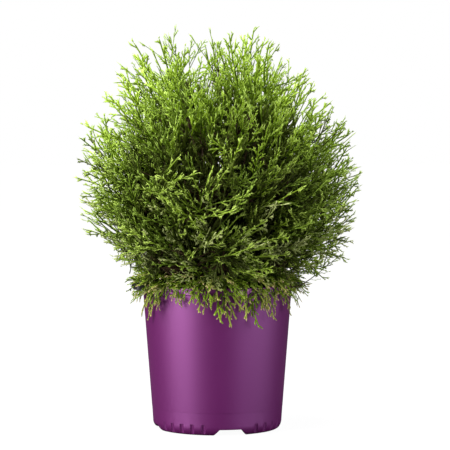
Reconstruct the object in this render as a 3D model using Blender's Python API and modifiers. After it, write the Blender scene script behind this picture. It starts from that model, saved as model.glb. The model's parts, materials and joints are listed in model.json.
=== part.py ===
"""A young globe arborvitae in its nursery pot, at its real size.

Metres, +Z up. The origin is on the ground at the pot's axis, and the side that the photograph shows is -Y.
An angle round the pot is in degrees from -Y towards +X.
"""

import math
import random

import bmesh
import bpy
from mathutils import Matrix, Vector
from mathutils.bvhtree import BVHTree

PART = "potted_arborvitae"
GAP = 0.0003  # between two pieces that touch

# The pot: a moulded nursery container, purple outside
POT_HEIGHT = 0.222
LIP_RADIUS = 0.1160
LIP_HEIGHT = 0.011
LIP_PROUD = 0.0025
LIP_ROUNDING = 0.0012
WALL = 0.002
WALL_FOOT_RADIUS = 0.0985  # outside, where the wall meets the rounded foot
FOOT_RADIUS = 0.0907
FOOT_ROUNDING = 0.0145  # how high the foot's rounded edge goes
FOOT_RING = 0.006  # width of the flat ring that the pot stands on
FLOOR_UNDERSIDE = 0.010
FLOOR_TOP = 0.0125
POT_STEPS = 48
ROUNDING_STEPS = 3

# The foot's drain notches and flutes, and the two hand grips
NOTCH_ANGLE = 12.3  # of the one that faces the photograph
NOTCHES = 4
NOTCH_HEIGHT = 0.009
NOTCH_WIDTH_LOW = 0.050
NOTCH_WIDTH_HIGH = 0.034
FLUTES_PER_QUARTER = 5
FLUTE_SPACING = 10.3
FLUTE_RADIUS = 0.0051
FLUTE_LOW = (0.0991, 0.0005)  # radius and height of its ends
FLUTE_HIGH = (0.1035, 0.0185)
DRAIN_RADIUS = 0.006
DRAIN_CIRCLE = 0.066
GRIP_WIDTH = 0.048
GRIP_INNER = 0.1120  # from the pot's axis
GRIP_OUTER = 0.1300
GRIP_HEIGHT = 0.0075
GRIP_PLATE = 0.0040
GRIP_RIM = 0.0025
GRIP_CORNER = 0.007

# The potting mix and the wood
SOIL_LEVEL = 0.199
SOIL_MOUND = 0.003
TRUNK_TOP = 0.497
TRUNK_FOOT_RADIUS = 0.0088
TRUNK_TOP_RADIUS = 0.0026
ROOT_FLARE = 0.0060
FLARE_HEIGHT = 0.011
TRUNK_SWAY = 0.007
LIMB_STEPS = 7
TRUNK_STEPS = 16

# The crown: an egg that the furthest tips reach, leaning a little to the left at the top
CROWN_CENTRE = Vector((0.0020, 0.0, 0.372))
CROWN_RADIUS = 0.2225
CROWN_UP = 0.2460
CROWN_DOWN = 0.1920
CROWN_TAPER = 1.85  # 2 is an ellipse, and less draws the upper half in
CROWN_BELLY = 2.1  # the same for the lower half, and more fills it out
CROWN_LEAN = 0.016
CROWN_HEART = Vector((0.0, 0.0, 0.285))  # the sprays point away from here
HANG_RADIUS = 0.152  # of the sprays that hang over the lip
HANG_LOW_FRONT = 0.160  # how low they come, in front and elsewhere
HANG_LOW_BACK = 0.175
FRONT_HALF_ANGLE = 65.0

# Tiers of masses: how many, radius, height, first angle, height and radius of the boughs' roots on the trunk
TIERS = {
    "skirt": {
        "count": 7, "radius": 0.122, "height": 0.268, "turn": 4.0, "root": (0.229, 0.250), "thick": 0.0036,
    },
    "belt": {
        "count": 6, "radius": 0.136, "height": 0.376, "turn": -10.0, "root": (0.268, 0.296), "thick": 0.0036,
    },
    "shoulder": {
        "count": 4, "radius": 0.094, "height": 0.478, "turn": 28.0, "root": (0.325, 0.352), "thick": 0.0030,
    },
}
CREST_HEIGHT = 0.548
SEED_JITTER = 0.006
BOUGH_TIP_RADIUS = 0.0020

# A mass: a stem, a core, twigs, and fans of needles, each fan one toothed blade
STEM_LENGTH = 0.048  # from the bough's tip to the heart of the mass
CORE_RADIUS = 0.080
CORE_SHARE = 0.80  # of the way to the crown's edge
CORE_CLEAR = 0.005  # from its bough
CORE_CELL_CLEAR = 0.0025  # from its neighbours' space
CORE_SMALLEST_LUMP = 0.92
TWIG_ROOT_RADIUS = 0.0018
TWIG_TIP_RADIUS = 0.0006
TWIG_STANDS_OUT = 0.014  # beyond the core, at the most
SPRAYS_TRIED = 22
SPRAY_WIDEST_LEAN = 104.0  # degrees off the mass's axis
SPRAY_LONGEST = 0.100
SPRAY_SHORTEST = 0.042
SPRAY_THICK = 0.0016
SPRAY_FINGERS = 2  # on either side
SPRAY_MIDRIB = 0.035  # half its width, of the spray's length
SPRAY_SUNK = 0.005  # how far the twig's tip is sunk in its root
GOLDEN_ANGLE = 137.508
CELL_CLEAR = 0.0004  # from the border between two masses
SEED = 11


def around(angle, radius, height):
    """The point at that angle round the pot's axis."""
    turn = math.radians(angle)
    return Vector((radius * math.sin(turn), -radius * math.cos(turn), height))


def collection(name, parent=None):
    made = bpy.data.collections.new(name)
    (parent or bpy.context.scene.collection).children.link(made)
    return made


def material(name, colour, roughness):
    made = bpy.data.materials.new(name)
    made.use_nodes = True
    shader = made.node_tree.nodes["Principled BSDF"]
    shader.inputs["Base Color"].default_value = (*colour, 1.0)
    shader.inputs["Roughness"].default_value = roughness
    shader.inputs["Metallic"].default_value = 0.0
    made.diffuse_color = (*colour, 1.0)
    return made


def add_object(name, mesh, where, look=None):
    made = bpy.data.objects.new(name, mesh)
    if look:
        mesh.materials.append(look)
    where.objects.link(made)
    return made


def mesh_of(name, bm):
    mesh = bpy.data.meshes.new(name)
    bm.normal_update()
    bmesh.ops.recalc_face_normals(bm, faces=bm.faces)
    bm.to_mesh(mesh)
    bm.free()
    return mesh


def helper(name, bm, where, matrix):
    """A cutter, or a shape that is joined to a part: it is placed by its mesh and never rendered."""
    bm.transform(matrix)
    made = add_object(name, mesh_of(name, bm), where)
    made.hide_render = True
    made.display_type = "WIRE"
    return made


def boolean(target, operation, others, solver="EXACT"):
    cut = target.modifiers.new(operation.lower(), "BOOLEAN")
    cut.operation = operation
    cut.operand_type = "COLLECTION"
    cut.collection = others
    cut.solver = solver
    return cut


def bake(obj):
    """Applies the object's modifiers."""
    graph = bpy.context.evaluated_depsgraph_get()
    final = bpy.data.meshes.new_from_object(obj.evaluated_get(graph))
    obj.modifiers.clear()
    obj.data = final


def turned(name, profile, steps, where, look):
    """Turns a profile of (radius, height) points that runs down its outer side round +Z."""
    bm = bmesh.new()
    ring = [bm.verts.new((radius, 0.0, height)) for radius, height in profile]
    for low, high in zip(ring, ring[1:]):
        bm.edges.new((low, high))
    mesh = bpy.data.meshes.new(name)
    bm.to_mesh(mesh)
    bm.free()
    made = add_object(name, mesh, where, look)
    screw = made.modifiers.new("turn", "SCREW")
    screw.axis = "Z"
    screw.steps = screw.render_steps = steps
    screw.use_merge_vertices = True
    screw.merge_threshold = 0.00001
    return made


def wall_radius(height):
    """The pot wall's outer radius."""
    share = (height - FOOT_ROUNDING) / (POT_HEIGHT - LIP_HEIGHT - FOOT_ROUNDING)
    return WALL_FOOT_RADIUS + share * (LIP_RADIUS - LIP_PROUD - WALL_FOOT_RADIUS)


def inside_radius(height):
    """The pot wall's inner radius."""
    top = POT_HEIGHT - LIP_ROUNDING
    low = wall_radius(FLOOR_TOP) - WALL
    high = LIP_RADIUS - LIP_PROUD - WALL
    return low + (height - FLOOR_TOP) / (top - FLOOR_TOP) * (high - low)


def pot_profile():
    """Up the inside, over the lip, down the outside and in under the foot."""
    lip_under = POT_HEIGHT - LIP_HEIGHT
    inside_top = POT_HEIGHT - LIP_ROUNDING
    inner = [
        (0.0, FLOOR_TOP),
        (inside_radius(FLOOR_TOP), FLOOR_TOP),
        (inside_radius(inside_top), inside_top),
        (inside_radius(inside_top) + LIP_ROUNDING, POT_HEIGHT),
    ]
    lip = [
        (LIP_RADIUS - LIP_ROUNDING, POT_HEIGHT),
        (LIP_RADIUS, POT_HEIGHT - LIP_ROUNDING),
        (LIP_RADIUS, lip_under + LIP_ROUNDING),
        (wall_radius(lip_under), lip_under),
    ]
    foot = []
    for step in range(ROUNDING_STEPS + 1):
        turn = 0.5 * math.pi * (1 - step / ROUNDING_STEPS)
        out = (WALL_FOOT_RADIUS - FOOT_RADIUS) * math.sin(turn)
        foot.append((FOOT_RADIUS + out, FOOT_ROUNDING * (1 - math.cos(turn))))
    ring_inside = FOOT_RADIUS - FOOT_RING
    under = [(ring_inside, 0.0), (ring_inside, FLOOR_UNDERSIDE), (0.0, FLOOR_UNDERSIDE)]
    return inner + lip + foot + under


def notch_cutter(angle, where):
    """A block that narrows upwards, across the foot ring."""
    bm = bmesh.new()
    bmesh.ops.create_cube(bm, size=1.0)
    below = NOTCH_HEIGHT
    for vert in bm.verts:
        upper = vert.co.z > 0
        slope = (NOTCH_WIDTH_LOW - NOTCH_WIDTH_HIGH) / NOTCH_HEIGHT
        width = NOTCH_WIDTH_HIGH if upper else NOTCH_WIDTH_LOW + slope * below
        vert.co = (vert.co.x * width, vert.co.y * 4 * FOOT_RING, NOTCH_HEIGHT if upper else -below)
    matrix = Matrix.Rotation(math.radians(angle), 4, "Z") @ Matrix.Translation((0, -FOOT_RADIUS, 0))
    return helper("notch", bm, where, matrix)


def rod(bm, low, high, radius_low, radius_high, sides):
    """Adds a closed cone or cylinder between two points to a mesh."""
    along = high - low
    turn = along.to_track_quat("Z", "X").to_matrix().to_4x4()
    matrix = Matrix.Translation((low + high) / 2) @ turn
    bmesh.ops.create_cone(
        bm, cap_ends=True, segments=sides, radius1=radius_low, radius2=radius_high,
        depth=along.length, matrix=matrix,
    )


def flute_cutter(angle, where):
    bm = bmesh.new()
    rod(bm, around(angle, *FLUTE_LOW), around(angle, *FLUTE_HIGH), FLUTE_RADIUS, FLUTE_RADIUS, 6)
    return helper("flute", bm, where, Matrix())


def drain_cutter(angle, where):
    bm = bmesh.new()
    low = around(angle, DRAIN_CIRCLE, FLOOR_UNDERSIDE - WALL)
    high = around(angle, DRAIN_CIRCLE, FLOOR_TOP + WALL)
    rod(bm, low, high, DRAIN_RADIUS, DRAIN_RADIUS, 12)
    return helper("drain", bm, where, Matrix())


def rounded_block(inner, outer, width, low, high, corner):
    """A block that stands out from the pot along -Y, its upright edges rounded."""
    bm = bmesh.new()
    bmesh.ops.create_cube(bm, size=1.0)
    for vert in bm.verts:
        vert.co.x *= width
        vert.co.y = -outer if vert.co.y < 0 else -inner
        vert.co.z = low if vert.co.z < 0 else high
    outer_edges = [e for e in bm.edges if all(v.co.y < -inner - corner for v in e.verts)]
    upright = [e for e in outer_edges if abs(e.verts[0].co.z - e.verts[1].co.z) > corner / 2]
    bmesh.ops.bevel(bm, geom=upright, offset=corner, segments=3, profile=0.5, affect="EDGES")
    return bm


def grip(angle, blocks, pockets):
    """A hand grip: a plate that stands out from the lip, with a low rim turned down round its edge."""
    turn = Matrix.Rotation(math.radians(angle), 4, "Z")
    low = POT_HEIGHT - GRIP_HEIGHT
    block = rounded_block(GRIP_INNER, GRIP_OUTER, GRIP_WIDTH, low, POT_HEIGHT, GRIP_CORNER)
    helper("grip", block, blocks, turn)
    width = GRIP_WIDTH - 2 * GRIP_RIM
    high = POT_HEIGHT - GRIP_PLATE
    inner = LIP_RADIUS + GRIP_RIM / 2
    pocket = rounded_block(inner, GRIP_OUTER - GRIP_RIM, width, low - WALL, high, GRIP_CORNER - GRIP_RIM)
    helper("grip_pocket", pocket, pockets, turn)


def make_pot(parts, cutters, look):
    pot = turned("pot", pot_profile(), POT_STEPS, parts, look)
    grips = collection("grips", cutters)
    cuts = collection("pot_cuts", cutters)
    quarter = 360.0 / NOTCHES
    for n in range(NOTCHES):
        centre = NOTCH_ANGLE + n * quarter
        notch_cutter(centre, cuts)
        drain_cutter(centre, cuts)
        for k in range(FLUTES_PER_QUARTER):
            off = (k - (FLUTES_PER_QUARTER - 1) / 2) * FLUTE_SPACING
            flute_cutter(centre + quarter / 2 + off, cuts)
    for side in (-quarter, quarter):
        grip(NOTCH_ANGLE + side, grips, cuts)
    boolean(pot, "UNION", grips)
    boolean(pot, "DIFFERENCE", cuts)
    return pot


def make_soil(parts, look):
    """Fills the pot, a little mounded round the stem."""
    low = FLOOR_TOP + GAP
    edge = SOIL_LEVEL - SOIL_MOUND
    profile = [
        (0.0, SOIL_LEVEL),
        (2.2 * (TRUNK_FOOT_RADIUS + ROOT_FLARE), SOIL_LEVEL),
        (inside_radius(edge) - GAP, edge),
        (inside_radius(low) - GAP, low),
        (0.0, low),
    ]
    return turned("potting_mix", profile, POT_STEPS, parts, look)


class Limb:
    """A tapering limb: points along its middle, and its radius at each."""

    def __init__(self, centres, radii):
        self.centres = centres
        self.radii = radii


def limb_mesh(name, limb, extra, level):
    """A curve's tube along the limb as a mesh, its caps welded. extra is added to its radius."""
    curve = bpy.data.curves.new(name, "CURVE")
    curve.dimensions = "3D"
    curve.bevel_depth = 1.0
    curve.bevel_resolution = level
    curve.use_fill_caps = True
    spline = curve.splines.new("POLY")
    spline.points.add(len(limb.centres) - 1)
    for point, centre, radius in zip(spline.points, limb.centres, limb.radii):
        point.co = (*centre, 1.0)
        point.radius = radius + extra
    tube = add_object(name, curve, bpy.context.scene.collection)
    graph = bpy.context.evaluated_depsgraph_get()
    mesh = bpy.data.meshes.new_from_object(tube.evaluated_get(graph))
    mesh.transform(tube.matrix_world)
    bpy.data.objects.remove(tube)
    bm = bmesh.new()
    bm.from_mesh(mesh)
    bmesh.ops.remove_doubles(bm, verts=bm.verts, dist=0.00001)
    bpy.data.meshes.remove(mesh)
    return mesh_of(name, bm)


def trunk_centre(height):
    share = (height - SOIL_LEVEL) / (TRUNK_TOP - SOIL_LEVEL)
    return Vector((-TRUNK_SWAY * math.sin(3.4 * share), TRUNK_SWAY * math.sin(2.3 * share), height))


def trunk_radius(height):
    share = (height - SOIL_LEVEL) / (TRUNK_TOP - SOIL_LEVEL)
    flare = ROOT_FLARE * math.exp(-(height - SOIL_LEVEL) / FLARE_HEIGHT)
    return TRUNK_FOOT_RADIUS + share * (TRUNK_TOP_RADIUS - TRUNK_FOOT_RADIUS) + flare


def trunk_limb():
    low = SOIL_LEVEL + GAP
    shares = [(k / TRUNK_STEPS) ** 1.5 for k in range(TRUNK_STEPS + 1)]
    heights = [low + share * (TRUNK_TOP - low) for share in shares]
    limb = Limb([trunk_centre(z) for z in heights], [trunk_radius(z) for z in heights])
    limb.centres[1].xy = limb.centres[0].xy  # so that the cut at the ground is level, and the tip's end too
    limb.centres[-2].xy = limb.centres[-1].xy
    return limb


def bezier(a, b, c, d, share):
    rest = 1 - share
    return rest**3 * a + 3 * rest**2 * share * b + 3 * rest * share**2 * c + share**3 * d


class Mass:
    """A mass of foliage: where its heart is, the way it faces, and the bough that carries it."""

    def __init__(self, tier, number, heart):
        self.tier = tier
        self.name = f"foliage_{tier}_{number}" if number else f"foliage_{tier}"
        self.bough_name = f"bough_{tier}_{number}"
        self.heart = heart
        self.axis = (heart - CROWN_HEART).normalized()
        self.tip = trunk_centre(TRUNK_TOP)  # what the stem grows from, here and below


def plan_masses(draw):
    masses = []
    for tier, plan in TIERS.items():
        for n in range(plan["count"]):
            jitter = Vector([draw.uniform(-SEED_JITTER, SEED_JITTER) for _ in range(3)])
            angle = plan["turn"] + n * 360.0 / plan["count"]
            masses.append(Mass(tier, n + 1, around(angle, plan["radius"], plan["height"]) + jitter))
    masses.append(Mass("crest", 0, trunk_centre(TRUNK_TOP) + Vector((0, 0, CREST_HEIGHT - TRUNK_TOP))))
    return masses


def bough_limb(mass, number):
    """From inside the trunk, up and out, to just short of the mass's heart."""
    plan = TIERS[mass.tier]
    low, high = plan["root"]
    height = low if number % 2 else high
    root = trunk_centre(height)
    outward = Vector((mass.heart.x - root.x, mass.heart.y - root.y, 0)).normalized()
    arrive = (outward + Vector((0, 0, 0.3 if mass.tier == "skirt" else 0.8))).normalized()
    tip = mass.heart - STEM_LENGTH * arrive
    reach = (tip - root).length
    leave = root + reach * 0.42 * (outward + Vector((0, 0, 0.75))).normalized()
    before = tip - reach * 0.34 * arrive
    centres = [bezier(root, leave, before, tip, k / LIMB_STEPS) for k in range(LIMB_STEPS + 1)]
    centres[-2] = tip - (tip - centres[-2]).length * arrive  # so that its end is square to the stem
    taper = [k / LIMB_STEPS for k in range(LIMB_STEPS + 1)]
    radii = [plan["thick"] + share * (BOUGH_TIP_RADIUS - plan["thick"]) for share in taper]
    return Limb(centres, radii)


def make_limbs(parts, cutters, masses, look):
    """The trunk, and the boughs cut clear of it."""
    trunk = trunk_limb()
    add_object("trunk", limb_mesh("trunk", trunk, 0.0, 3), parts, look)
    sleeve = collection("trunk_sleeve", cutters)
    cutter = add_object("trunk_sleeve", limb_mesh("trunk_sleeve", trunk, GAP, 3), sleeve)
    cutter.hide_render = True
    cutter.display_type = "WIRE"
    for number, mass in enumerate(m for m in masses if m.tier in TIERS):
        limb = bough_limb(mass, number)
        mass.tip = limb.centres[-1]
        bough = add_object(mass.bough_name, limb_mesh(mass.bough_name, limb, 0.0, 1), parts, look)
        boolean(bough, "DIFFERENCE", sleeve)


def spray_outline():
    """A fan of needles seen flat, a unit long: a midrib with forward-swept fingers by turns on either side."""
    sides = []
    for side, first in ((1, 0.16), (-1, 0.28)):
        edge = []
        for n in range(SPRAY_FINGERS):
            station = first + n * 0.28
            reach = 0.34 - 0.09 * n
            edge.append((station + 0.9 * reach, side * reach))
            edge.append((station + 0.28, side * 1.2 * SPRAY_MIDRIB))
        sides.append(edge)
    left, right = sides
    return [(0.0, 0.6 * SPRAY_MIDRIB), *left, (1.0, 0.0), *reversed(right), (0.0, -0.6 * SPRAY_MIDRIB)]


def spray_mesh(length, bend, thick):
    """The fan as a blade along +X, its flat side up, drooping by bend at its tip."""
    bm = bmesh.new()
    outline = [bm.verts.new((x * length, y * length, 0.0)) for x, y in spray_outline()]
    bm.faces.new(outline)
    bmesh.ops.triangulate(bm, faces=bm.faces)
    for vert in bm.verts:
        vert.co.z = -thick / 2
    sheet = list(bm.faces)
    grown = bmesh.ops.extrude_face_region(bm, geom=sheet, use_keep_orig=True)
    top = [item for item in grown["geom"] if isinstance(item, bmesh.types.BMVert)]
    bmesh.ops.translate(bm, verts=top, vec=(0, 0, thick))
    for vert in bm.verts:
        vert.co.z -= bend * (vert.co.x / length) ** 2
    return bm


def blade_matrix(root, along, facing):
    """Places a blade's X along a direction, with its flat side turned as far as it goes towards another."""
    across = facing.cross(along).normalized()
    flat = along.cross(across).normalized()
    frame = Matrix((along, across, flat)).transposed().to_4x4()
    return Matrix.Translation(root) @ frame


def crown_share(point):
    """Under 1 inside the egg that the crown fills."""
    up = point.z - CROWN_CENTRE.z
    up /= CROWN_UP if up > 0 else CROWN_DOWN
    x = point.x - CROWN_CENTRE.x + up * CROWN_LEAN
    y = point.y - CROWN_CENTRE.y
    power = CROWN_TAPER if up > 0 else CROWN_BELLY
    return ((math.hypot(x, y) / CROWN_RADIUS) ** power + abs(up) ** power) ** (1 / power)


def in_crown(point):
    """Inside the egg, or among the sprays that hang over the lip."""
    if crown_share(point) < 1.0:
        return True
    facing = abs(math.degrees(math.atan2(point.x, -point.y))) < FRONT_HALF_ANGLE
    low = HANG_LOW_FRONT if facing else HANG_LOW_BACK
    return low < point.z < POT_HEIGHT + 0.03 and math.hypot(point.x, point.y) < HANG_RADIUS


def in_cell(point, mass, masses, clear):
    """Nearer to this mass's heart than to any other's."""
    for other in masses:
        across = other.heart - mass.heart
        middle = (other.heart + mass.heart) / 2
        if other is not mass and (point - middle).dot(across.normalized()) > -clear:
            return False
    return True


def core_reach(along, mass, masses, surfaces):
    """How far the core goes from its heart that way."""
    stem = (mass.tip - mass.heart).normalized()
    reach = CORE_RADIUS
    while reach > 2 * CORE_CLEAR:
        point = mass.heart + reach * along
        clear = in_cell(point, mass, masses, CORE_CELL_CLEAR) and crown_share(point) < CORE_SHARE
        short = reach * along.dot(stem) < STEM_LENGTH - CORE_CLEAR
        near = any(tree.find_nearest(point, 2 * CORE_CLEAR)[0] for tree in surfaces)
        if clear and short and not near:
            return reach
        reach *= 0.95
    return reach


def core_mesh(mass, masses, surfaces, draw):
    """A lumpy ball that fills the middle of the mass's space."""
    bm = bmesh.new()
    bmesh.ops.create_icosphere(bm, subdivisions=2, radius=1.0)
    for vert in bm.verts:
        along = vert.co.normalized()
        lump = draw.uniform(CORE_SMALLEST_LUMP, 1.0)
        vert.co = mass.heart + lump * core_reach(along, mass, masses, surfaces) * along
    return bm


def fits(points, mass, masses):
    return all(in_cell(p, mass, masses, CELL_CLEAR) and in_crown(p) for p in points)


def try_spray(root, along, facing, mass, masses, surfaces, draw):
    """The longest spray from here that keeps to its space and crosses nothing, in place, or nothing."""
    length = SPRAY_LONGEST * draw.uniform(0.85, 1.0)
    bend = draw.uniform(0.0, 0.06)
    matrix = blade_matrix(root, along, facing)
    while length > SPRAY_SHORTEST:
        bm = spray_mesh(length, bend * length, SPRAY_THICK)
        bm.transform(matrix)
        if fits([vert.co for vert in bm.verts], mass, masses):
            room = spray_mesh(1.02 * length, bend * length, SPRAY_THICK + 4 * GAP)
            room.transform(matrix)
            tree = BVHTree.FromBMesh(room)
            room.free()
            if not any(tree.overlap(other) for other in surfaces):
                surfaces.append(tree)
                return bm
        bm.free()
        length *= 0.92
    return None


def spray_directions(axis, draw):
    """Directions spread evenly round the mass's axis."""
    turn = axis.to_track_quat("Z", "X")
    widest = 1 - math.cos(math.radians(SPRAY_WIDEST_LEAN))
    for n in range(SPRAYS_TRIED):
        lean = math.acos(1 - widest * (n + 0.5) / SPRAYS_TRIED)
        spin = math.radians(n * GOLDEN_ANGLE + draw.uniform(-15, 15))
        local = Vector((math.sin(lean) * math.cos(spin), math.sin(lean) * math.sin(spin), math.cos(lean)))
        yield turn @ local


def spray_way(along, mass, draw):
    """Skirt sprays lean down and out, the others up."""
    lift = -0.40 if mass.tier == "skirt" else 0.55
    sway = Vector([draw.uniform(-0.4, 0.4) for _ in range(3)])
    return (along + sway + Vector((0, 0, lift))).normalized()


def make_mass(mass, masses, solids, parts, look, draw):
    """One stem, a core, twigs, and toothed blades for its fans, joined into one solid."""
    surfaces = list(solids)
    pieces = collection(mass.name + "_pieces", parts)
    stem = bmesh.new()
    start = mass.tip + GAP * (mass.heart - mass.tip).normalized()
    rod(stem, start, mass.heart, BOUGH_TIP_RADIUS, BOUGH_TIP_RADIUS, 6)
    body = add_object(mass.name, mesh_of(mass.name, stem), parts, look)
    core = core_mesh(mass, masses, surfaces, draw)
    core.normal_update()
    core_tree = BVHTree.FromBMesh(core)
    add_object("core", mesh_of("core", core), pieces)
    sprays = 0
    for along in spray_directions(mass.axis, draw):
        surface = core_tree.ray_cast(mass.heart, along)[0]
        root = surface + draw.uniform(-0.7, 1.0) * TWIG_STANDS_OUT * along
        for _ in range(3):
            way = spray_way(along, mass, draw)
            facing = mass.axis + Vector([draw.uniform(-0.6, 0.6) for _ in range(3)])
            blade = try_spray(root, way, facing, mass, masses, surfaces, draw)
            if blade:
                twig = bmesh.new()
                rod(twig, mass.heart, root + SPRAY_SUNK * way, TWIG_ROOT_RADIUS, TWIG_TIP_RADIUS, 3)
                add_object("twig", mesh_of("twig", twig), pieces)
                add_object("spray", mesh_of("spray", blade), pieces)
                sprays += 1
                break
    boolean(body, "UNION", pieces, "MANIFOLD")
    bake(body)
    for piece in list(pieces.objects):
        bpy.data.objects.remove(piece)
    bpy.data.collections.remove(pieces)
    return sprays


def main():
    for old in list(bpy.data.objects):
        bpy.data.objects.remove(old)
    parts = collection(PART)
    cutters = collection("cutters")
    looks = {
        "pot": material("purple_plastic", (0.165, 0.022, 0.125), 0.38),
        "soil": material("potting_mix", (0.045, 0.026, 0.016), 0.95),
        "bark": material("bark", (0.130, 0.062, 0.036), 0.85),
        "skirt": material("foliage_low", (0.060, 0.140, 0.022), 0.55),
        "belt": material("foliage_middle", (0.105, 0.235, 0.020), 0.55),
        "shoulder": material("foliage_high", (0.165, 0.330, 0.026), 0.55),
    }
    looks["crest"] = looks["shoulder"]
    draw = random.Random(SEED)
    make_pot(parts, cutters, looks["pot"])
    make_soil(parts, looks["soil"])
    masses = plan_masses(draw)
    make_limbs(parts, cutters, masses, looks["bark"])
    graph = bpy.context.evaluated_depsgraph_get()
    solids = [BVHTree.FromObject(solid, graph) for solid in parts.objects]
    total = 0
    for mass in masses:
        total += make_mass(mass, masses, solids, parts, looks[mass.tier], draw)
    print(total, "sprays")


main()
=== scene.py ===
"""The looks of a young globe arborvitae in its nursery pot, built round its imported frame.

Metres, +Z up; the side that the photograph shows is -Y. An angle round the pot is in degrees from -Y towards
+X. The trunk, the boughs and the hearts of the foliage masses follow the same rule and seed as the solids do.
Branches grow from each heart, the branches carry plumes, and a plume is a twig with flat, forked sprays on
either side.
"""

import json
import random
from math import acos, asin, atan2, copysign, cos, degrees, exp, floor, hypot, pi, radians, sin, sqrt

import bmesh
import bpy
import numpy as np
from mathutils import Matrix, Vector, noise

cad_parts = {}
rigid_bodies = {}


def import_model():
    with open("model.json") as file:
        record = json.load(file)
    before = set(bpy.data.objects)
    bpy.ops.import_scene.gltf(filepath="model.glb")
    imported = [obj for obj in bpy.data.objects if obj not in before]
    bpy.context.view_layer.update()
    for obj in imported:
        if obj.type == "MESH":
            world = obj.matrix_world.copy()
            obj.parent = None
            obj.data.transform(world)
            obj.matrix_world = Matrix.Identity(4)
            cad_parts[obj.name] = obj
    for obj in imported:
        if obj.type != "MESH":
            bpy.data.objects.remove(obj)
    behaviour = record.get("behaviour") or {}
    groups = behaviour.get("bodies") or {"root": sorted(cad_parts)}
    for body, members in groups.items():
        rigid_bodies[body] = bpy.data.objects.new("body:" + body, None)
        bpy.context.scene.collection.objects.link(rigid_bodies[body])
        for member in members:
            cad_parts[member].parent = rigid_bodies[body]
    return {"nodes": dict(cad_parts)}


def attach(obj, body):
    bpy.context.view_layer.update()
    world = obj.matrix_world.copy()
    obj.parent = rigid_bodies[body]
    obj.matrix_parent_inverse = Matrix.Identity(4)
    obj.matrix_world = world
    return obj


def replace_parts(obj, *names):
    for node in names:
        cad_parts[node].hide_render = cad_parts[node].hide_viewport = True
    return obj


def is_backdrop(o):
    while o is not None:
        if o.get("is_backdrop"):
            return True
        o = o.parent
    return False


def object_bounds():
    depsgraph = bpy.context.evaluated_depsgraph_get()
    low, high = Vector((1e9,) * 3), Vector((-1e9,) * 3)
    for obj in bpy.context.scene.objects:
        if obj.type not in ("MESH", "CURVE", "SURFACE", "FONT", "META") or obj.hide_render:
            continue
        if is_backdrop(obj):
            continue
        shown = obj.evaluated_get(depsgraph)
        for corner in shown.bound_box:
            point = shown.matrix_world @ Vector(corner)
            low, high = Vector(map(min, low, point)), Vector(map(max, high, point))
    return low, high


# The pot, as its solid has it
POT_HEIGHT = 0.222
LIP_RADIUS = 0.1160
LIP_HEIGHT = 0.011
LIP_PROUD = 0.0025
LIP_ROUNDING = 0.0012
WALL = 0.002
WALL_FOOT_RADIUS = 0.0985
FOOT_RADIUS = 0.0907
FOOT_ROUNDING = 0.0145
FOOT_RING = 0.006
FLOOR_UNDERSIDE = 0.010
FLOOR_TOP = 0.0125
NOTCH_ANGLE = 12.3
NOTCHES = 4
NOTCH_HEIGHT = 0.009
NOTCH_WIDTH_LOW = 0.050
NOTCH_WIDTH_HIGH = 0.034
FLUTES_PER_QUARTER = 5
FLUTE_SPACING = 10.3
DRAIN_RADIUS = 0.006
DRAIN_CIRCLE = 0.066
GRIP_WIDTH = 0.048
GRIP_INNER = 0.1120
GRIP_OUTER = 0.1300
GRIP_HEIGHT = 0.0075
GRIP_PLATE = 0.0040
GRIP_RIM = 0.0025
GRIP_CORNER = 0.007

# What the finer pot adds
POT_STEPS = 240
ROUNDING_STEPS = 8
WALL_RINGS = 12
STEP_LINE = 0.034  # height of the faint step round the wall
STEP_DEPTH = 0.0002
FLUTE_RADIUS = 0.0044  # narrower than the solid's, with a blunt upper end
FLUTE_LOW = (0.0987, 0.0005)  # radius and height of its ends
FLUTE_HIGH = (0.1016, 0.0158)
SHARP_ANGLE = 32.0

# The plant's plan, as its solids have it
GAP = 0.0003
SOIL_LEVEL = 0.199
SOIL_MOUND = 0.003
CHIPS = 420
TRUNK_TOP = 0.497
TRUNK_FOOT_RADIUS = 0.0088
TRUNK_TOP_RADIUS = 0.0026
ROOT_FLARE = 0.0060
FLARE_HEIGHT = 0.011
TRUNK_SWAY = 0.007
TRUNK_WAVES = (3.4, 2.3)  # how far each sway goes through its wave, in radians
CROWN_CENTRE = Vector((0.0020, 0.0, 0.372))
CROWN_RADIUS = 0.2225
CROWN_UP = 0.2460
CROWN_DOWN = 0.1920
CROWN_TAPER = 1.85  # 2 is an ellipse, and less draws the upper half in
CROWN_BELLY = 2.1  # the same for the lower half, and more fills it out
CROWN_LEAN = 0.016
CROWN_HEART = Vector((0.0, 0.0, 0.285))
TIERS = {
    "skirt": {"count": 7, "radius": 0.122, "height": 0.268, "turn": 4.0,
              "root": (0.229, 0.250), "thick": 0.0036, "rise": 0.3},
    "belt": {"count": 6, "radius": 0.136, "height": 0.376, "turn": -10.0,
             "root": (0.268, 0.296), "thick": 0.0036, "rise": 0.8},
    "shoulder": {"count": 4, "radius": 0.094, "height": 0.478, "turn": 28.0,
                 "root": (0.325, 0.352), "thick": 0.0030, "rise": 0.8},
}
CREST_HEIGHT = 0.548
SEED_JITTER = 0.006
STEM_LENGTH = 0.048
BOUGH_TIP_RADIUS = 0.0020
BOUGH_RISE = 0.75  # where it leaves the trunk
BOUGH_BENDS = (0.42, 0.34)  # how far it keeps its way at the trunk and at its tip, of its length
SEED = 11
GOLDEN_ANGLE = 137.508

# Bark
TRUNK_RINGS = 90
TRUNK_SIDES = 32
BOUGH_RINGS = 30
BOUGH_SIDES = 12
BARK_DEPTH = 0.24  # of the limb's radius

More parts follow.
